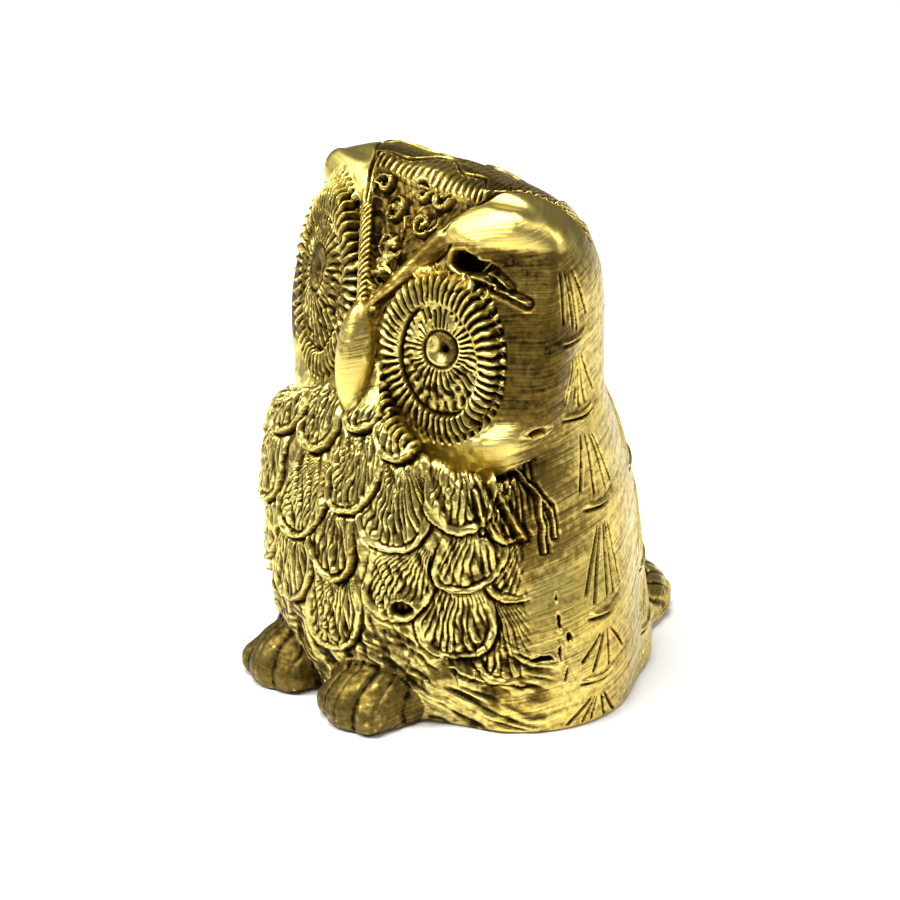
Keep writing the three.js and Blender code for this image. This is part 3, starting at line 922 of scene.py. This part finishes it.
def piece_names(points):
    """The name of the piece that each point of the surface belongs to."""
    q = mirrored(points)
    right = right_side(points)
    q32 = single(q)
    x, y, z = points.T
    across, up, out = on_face(q, right)
    turn = np.degrees(np.arctan2(q[:, 0], -y))
    names = np.full(len(points), "torso", dtype="U20")
    side = np.where(x >= 0, "left", "right")

    def mark(where, name, paired=True):
        names[where] = np.char.add(side[where], "_" + name) if paired else name

    is_head = (z > NECK_Z) & ((head(q32, right) < 0.12) | (y > -5))
    mark((turn > WING_TURN[0]) & (turn < WING_TURN[1]) & ~is_head, "wing")
    mark(is_head, "head", False)
    slant = across * sin(CHEEK_SLANT) - up * cos(CHEEK_SLANT)
    mark(is_head & (slant > CHEEK_AWAY) & (y < -2) & (q[:, 0] > 3.4), "cheek")
    mark(is_head & (z > CROWN_Z), "crown", False)
    level = (q - BRIDGE) @ CREST_WAY
    wedge = (q[:, 0] < BRIDGE[0] + level * CREST_WAY[0] + 0.2) & (z <= CROWN_Z) & (y < -5)
    mark(is_head & wedge, "forehead", False)
    ridge = np.minimum(brow(q32), ear_ridge(q32))
    mark(is_head & (ridge < 0.3) & (q[:, 0] > 0.35) & (y < 0), "brow")
    ring, iris, pupil = eye_rings(across, up)
    face = is_head & (out > -1.2)
    mark(face & (ring < 1.05), "eye_disc")
    mark(face & (iris < 1.02), "iris")
    mark(face & (pupil < PUPIL + 0.1), "pupil")
    mark((beak(q32) < 0.2) & (z > 28) & (y < -10), "beak", False)
    mark((foot(q32) < 0.3) & (y < -12) & (z < 6.5), "foot")
    mark((tail(single(points)) < 0.4) & (y > 15), "tail", False)
    return names


def closed_piece(name, skin, quads):
    """A closed mesh: a patch of the surface, walls down from its border, and hidden caps."""
    used, local = np.unique(quads, return_inverse=True)
    faces = local.reshape(-1, 4)
    points = skin.shape[used]
    vertex_normal = skin.final[used]
    starts = faces.ravel()
    ends = np.roll(faces, -1, axis=1).ravel()
    keys = starts * len(used) + ends
    back = ends * len(used) + starts
    open_edge = ~np.isin(keys, back)
    a, b = starts[open_edge], ends[open_edge]
    rim, rim_index = np.unique(join([a, b]), return_inverse=True)
    a_rim, b_rim = rim_index[:len(a)], rim_index[len(a):]
    lowered = points[rim] - BORDER_DEPTH * vertex_normal[rim]
    loops = loop_numbers(a_rim, b_rim, len(rim))
    centres = []
    for loop in range(loops.max() + 1):
        member = loops == loop
        inward = vertex_normal[rim[member]].mean(0)
        centres.append(lowered[member].mean(0) - BORDER_DEPTH * inward)
    count = len(points)
    walls = np.stack([b, a, count + a_rim, count + b_rim], -1)
    caps = np.stack([count + b_rim, count + a_rim, count + len(rim) + loops[a_rim]], -1)
    points = join([points, lowered, np.array(centres)])
    return make_mesh(name, skin, used, points, faces, walls, caps)


def loop_numbers(a, b, count):
    """Numbers the closed loops that a set of directed edges makes."""
    group = np.arange(count)
    while True:
        lowest = group.copy()
        np.minimum.at(lowest, a, group[b])
        np.minimum.at(lowest, b, group[a])
        lowest = lowest[lowest]
        if (lowest == group).all():
            break
        group = lowest
    return np.unique(group, return_inverse=True)[1]


def placed(name, data):
    thing = bpy.data.objects.new(name, data)
    bpy.context.collection.objects.link(thing)
    return thing


def make_mesh(name, skin, used, points, faces, walls, caps):
    mesh = bpy.data.meshes.new(name)
    quads = join([faces, walls])
    corners = join([quads.ravel(), caps.ravel()])
    sizes = join([np.full(len(quads), 4), np.full(len(caps), 3)])
    mesh.vertices.add(len(points))
    mesh.vertices.foreach_set("co", (points * UNIT).ravel())
    mesh.loops.add(len(corners))
    mesh.loops.foreach_set("vertex_index", corners.astype(np.int32))
    mesh.polygons.add(len(sizes))
    starts = join([[0], np.cumsum(sizes)[:-1]])
    mesh.polygons.foreach_set("loop_start", starts.astype(np.int32))
    mesh.polygons.foreach_set("loop_total", sizes.astype(np.int32))
    mesh.polygons.foreach_set("use_smooth", np.ones(len(sizes), bool))
    mesh.update(calc_edges=True)
    extra = len(points) - len(used)
    for label in ("patina_and_shade", "polish", "chased"):
        values = join([getattr(skin, label)[used], np.zeros(extra)])
        layer = mesh.attributes.new(label, "FLOAT", "POINT")
        layer.data.foreach_set("value", single(values))
    grain = join([skin.grain[used], np.zeros((extra, 3))])
    layer = mesh.attributes.new("grain", "FLOAT_VECTOR", "POINT")
    layer.data.foreach_set("vector", grain.astype(np.float32).ravel())
    corner_normals = np.zeros((len(corners), 3), np.float32)
    corner_normals[:faces.size] = skin.final[used][faces.ravel()]
    mesh.normals_split_custom_set(corner_normals)
    return placed(name, mesh)


# ---- materials
# From worn brass to dark: the dark end stands for tarnish in the cuts and also for painted shade.
BRIGHT = (0.80, 0.71, 0.235, 1)
MIDDLE = (0.205, 0.152, 0.036, 1)
DARK = (0.014, 0.010, 0.003, 1)
TARNISH_TINT = (1.0, 0.80, 0.50, 1)


def brass(slot, roughness, scratch):
    """Brass worn bright on high places, brown in the cuts and darker where shade is painted, with
    file marks along its grain.
    """
    material = bpy.data.materials.new(slot)
    material.use_nodes = True
    tree = material.node_tree
    tree.nodes.clear()
    new = tree.nodes.new
    link = tree.links.new

    def attribute(label):
        node = new("ShaderNodeAttribute")
        node.attribute_name = label
        return node

    def number(operation, *inputs, clamp=False):
        node = new("ShaderNodeMath")
        node.operation = operation
        node.use_clamp = clamp
        for socket, value in zip(node.inputs, inputs):
            if isinstance(value, (int, float)):
                socket.default_value = value
            else:
                link(value, socket)
        return node.outputs[0]

    def product(a, b):
        return number("MULTIPLY", a, b)

    def product_sum(a, b, c):
        return number("MULTIPLY_ADD", a, b, c)

    def cloud(vector, scale, detail, strength=0.5):
        node = new("ShaderNodeTexNoise")
        node.inputs["Scale"].default_value = scale
        node.inputs["Detail"].default_value = detail
        node.inputs["Roughness"].default_value = strength
        link(vector, node.inputs["Vector"])
        return node.outputs["Fac"]

    def stretched(vector, scale):
        """Long along the grain, and turned so that the noise's own lattice doesn't show."""
        node = new("ShaderNodeMapping")
        node.inputs["Scale"].default_value = scale
        node.inputs["Rotation"].default_value = (0.5, 0.4, 0.7)
        link(vector, node.inputs["Vector"])
        return node.outputs["Vector"]

    place = new("ShaderNodeTexCoord").outputs["Object"]
    # The attribute read here darkens the colour, both for tarnish in the cuts and for painted
    # shade.
    patina_and_shade = attribute("patina_and_shade").outputs["Fac"]
    polish = attribute("polish").outputs["Fac"]
    chased = attribute("chased").outputs["Fac"]
    grain = attribute("grain").outputs["Vector"]
    fine = stretched(grain, (0.14, 4.2, 4.2))
    broad = stretched(grain, (0.16, 1.3, 1.3))
    marks = number("ADD", product(cloud(fine, 1.0, 4, 0.6), 0.6),
                   product(cloud(broad, 1.0, 3, 0.6), 0.4))
    swing = number("SUBTRACT", marks, 0.5)
    speckle = cloud(place, 1500 / SCALE, 4, 0.6)
    blotch = cloud(place, 170 / SCALE, 3)

    mottled = product_sum(number("SUBTRACT", speckle, 0.5), 0.9, patina_and_shade)
    filed = number("ADD", product(swing, product_sum(chased, -0.6, 1.5)), mottled)
    worn = number("SUBTRACT", filed, product(polish, 0.25), clamp=True)
    ramp = new("ShaderNodeValToRGB")
    stops = ramp.color_ramp.elements
    stops[0].color = BRIGHT
    stops[1].position = 0.95
    stops[1].color = DARK
    stops.new(0.42).color = MIDDLE
    link(worn, ramp.inputs["Fac"])
    tint = new("ShaderNodeMix")
    tint.data_type = "RGBA"
    tint.blend_type = "MULTIPLY"
    warmth = product_sum(chased, -0.6, 1.3)
    link(number("MULTIPLY", blotch, warmth, clamp=True), tint.inputs["Factor"])
    link(ramp.outputs["Color"], tint.inputs[6])
    tint.inputs[7].default_value = TARNISH_TINT

    rough = product_sum(swing, 0.25, product_sum(worn, 0.30, roughness))
    rough = product_sum(polish, 0.05, rough)
    rough = number("MAXIMUM", rough, 0.12)

    lines = product(marks, number("SUBTRACT", 1.0, product(chased, 0.7)))
    dents = product(speckle, product_sum(chased, 0.8, 0.2))
    relief = product_sum(lines, scratch, dents)
    bumps = new("ShaderNodeBump")
    bumps.inputs["Strength"].default_value = 0.55
    bumps.inputs["Distance"].default_value = 0.00012 * SCALE
    link(relief, bumps.inputs["Height"])

    shader = new("ShaderNodeBsdfPrincipled")
    shader.inputs["Metallic"].default_value = 1.0
    link(tint.outputs[2], shader.inputs["Base Color"])
    link(rough, shader.inputs["Roughness"])
    link(bumps.outputs["Normal"], shader.inputs["Normal"])
    output = new("ShaderNodeOutputMaterial")
    link(shader.outputs["BSDF"], output.inputs["Surface"])
    return material


# Each slot: how rough it is where it is worn bright, and how deep its file marks are.
FINISHES = {slot: brass(slot, roughness, scratch) for slot, roughness, scratch in (
    ("chased_brass", 0.30, 1.0),
    ("brushed_brass", 0.30, 1.4),
    ("polished_brass", 0.31, 1.7),
    ("engraved_brass", 0.32, 0.6),
    ("dark_brass", 0.34, 0.8),
)}


# ---- building the owl
FINE_NODES = ("eye_disc", "iris", "pupil", "forehead", "crown")


def chased_skin(points, quads):
    """The surface with every tool mark on it, its final normals, and its tarnish together with
    painted shade.
    """
    skin = Skin(points, quads)
    for chase in (
        breast_feathers, rough_hatching, side_feathers, cheek_blades, eyes,
        forehead, crown_lines, brow_hatching, tail_and_feet, casting_flaws, surface_grain,
    ):
        chase(skin)
    skin.height *= rising(skin.z, 0.05, 0.6)
    skin.shape = skin.p + skin.height[:, None] * skin.normals
    skin.shape *= FIT
    skin.shape[:, 2] = np.clip(skin.shape[:, 2], 0, TOP_Z)
    spacing = np.linalg.norm(skin.p[quads[:, 0]] - skin.p[quads[:, 1]], axis=1).mean()
    # As many rounds as reach equally far on any net.
    times = min(24, int(round(10 * (0.14 / spacing) ** 2)))
    hollow = relaxed(skin.shape, quads, times) - skin.shape
    skin.final = vertex_normals(skin.shape, quads)
    cavity = (hollow * skin.final).sum(1)
    skin.patina_and_shade = np.clip(
        0.85 * skin.patina_and_shade + rising(cavity, 0.005, 0.08) * 0.7
        - rising(-cavity, 0.01, 0.09) * 0.5, 0, 1,
    )
    skin.grain = np.stack([skin.around, skin.z - 0.25 * np.abs(skin.around), skin.z * 0], -1)
    return skin


def near_pieces(quads, names, wanted):
    """Quads of the wanted pieces, and a margin of their neighbours."""
    chosen = np.zeros(len(quads), bool)
    for ending in wanted:
        chosen |= np.char.endswith(names, ending)
    for _ in range(3):
        touched = np.zeros(quads.max() + 1, bool)
        touched[quads[chosen]] = True
        chosen |= touched[quads].any(1)
    return chosen


def build_owl():
    low = np.array([-23.0, -23.0, -1.5])
    high = np.array([23.0, 27.5, 53.0])
    counts = np.ceil((high - low) / GRID).astype(int)
    values = sample(owl, low, counts, GRID)
    points, quads = surface_net(values, low, GRID)
    points = settled(points, quads, 2)
    points, quads = subdivided(points, quads)
    points = settled(points, quads, 2)
    names = piece_names(points[quads].mean(1))
    skin = chased_skin(points, quads)
    fine = near_pieces(quads, names, FINE_NODES)
    fine_points, fine_quads = subdivided(points, quads[fine])
    fine_skin = chased_skin(settled(fine_points, fine_quads, 1), fine_quads)
    fine_names = np.tile(names[fine], 4)
    slots = {row["node"]: row["material_slot"] for row in frame["record"]["subparts"]}
    for node, slot in slots.items():
        if node.endswith(FINE_NODES):
            piece = closed_piece("skin_" + node, fine_skin, fine_quads[fine_names == node])
        else:
            piece = closed_piece("skin_" + node, skin, quads[names == node])
        piece.data.materials.append(FINISHES[slot])
        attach(piece, "root")
        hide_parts(node)


# ---- studio
TARGET = Vector((-0.5, 0.0, 24.0)) * UNIT
AZIMUTH = radians(50)
ELEVATION = radians(22)
DISTANCE = 330 * UNIT
IMAGE_SCALE = 10.22  # image steps per millimetre at the target
FRAME_STEPS = 900
SENSOR = 36.0
AIM_OFF = (5.0, 25.0)  # target left of and above the image's middle, in image steps


# Lights: azimuth and elevation in degrees, distance and size in metres, and watts.
LIGHTS = {
    "overhead": (20, 78, 0.55, (0.30, 0.22), 3.8),
    "key": (-35, 40, 0.60, (0.16, 0.30), 3.0),
    "side": (125, 35, 0.60, (0.08, 0.34), 0.9),
}
SKY = (0.8, 0.82, 0.85, 1)
SKY_POWER = 0.16
FLOOR_HALF = 1.5


def outward(azimuth, elevation):
    """The way out from the target."""
    return Vector((sin(azimuth) * cos(elevation), -cos(azimuth) * cos(elevation), sin(elevation)))


def aimed(name, data, place, back):
    thing = placed(name, data)
    thing.location = place
    thing.rotation_mode = "QUATERNION"
    thing.rotation_quaternion = back.to_track_quat("Z", "Y")
    return thing


def camera():
    back = outward(AZIMUTH, ELEVATION)
    right = Vector((cos(AZIMUTH), sin(AZIMUTH), 0))
    up = back.cross(right)
    data = bpy.data.cameras.new("camera")
    data.sensor_width = SENSOR
    data.lens = SENSOR * DISTANCE / UNIT * IMAGE_SCALE / FRAME_STEPS
    data.clip_start = 0.01
    data.clip_end = 20
    shift = right * (-AIM_OFF[0] / IMAGE_SCALE * UNIT) + up * (-AIM_OFF[1] / IMAGE_SCALE * UNIT)
    bpy.context.scene.camera = aimed("camera", data, TARGET + back * DISTANCE + shift, back)


def studio():
    mesh = bpy.data.meshes.new("floor")
    corners = [(x * FLOOR_HALF, y * FLOOR_HALF, 0) for x, y in ((-1, -1), (1, -1), (1, 1), (-1, 1))]
    mesh.from_pydata(corners, [], [(0, 1, 2, 3)])
    paper = bpy.data.materials.new("floor_paper")
    paper.use_nodes = True
    shader = paper.node_tree.nodes["Principled BSDF"]
    shader.inputs["Base Color"].default_value = (0.92, 0.92, 0.92, 1)
    shader.inputs["Roughness"].default_value = 0.9
    mesh.materials.append(paper)
    floor = placed("floor", mesh)
    world = bpy.data.worlds.new("studio")
    world.use_nodes = True
    sky = world.node_tree.nodes["Background"]
    sky.inputs["Color"].default_value = SKY
    sky.inputs["Strength"].default_value = SKY_POWER
    bpy.context.scene.world = world
    for name, (azimuth, elevation, distance, size, power) in LIGHTS.items():
        light = bpy.data.lights.new(name, "AREA")
        light.shape = "RECTANGLE"
        light.size, light.size_y = size
        light.energy = power
        back = outward(radians(azimuth), radians(elevation))
        aimed(name, light, TARGET + back * distance, back)
    bpy.context.scene.view_settings.view_transform = "Standard"


camera()
studio()
build_owl()
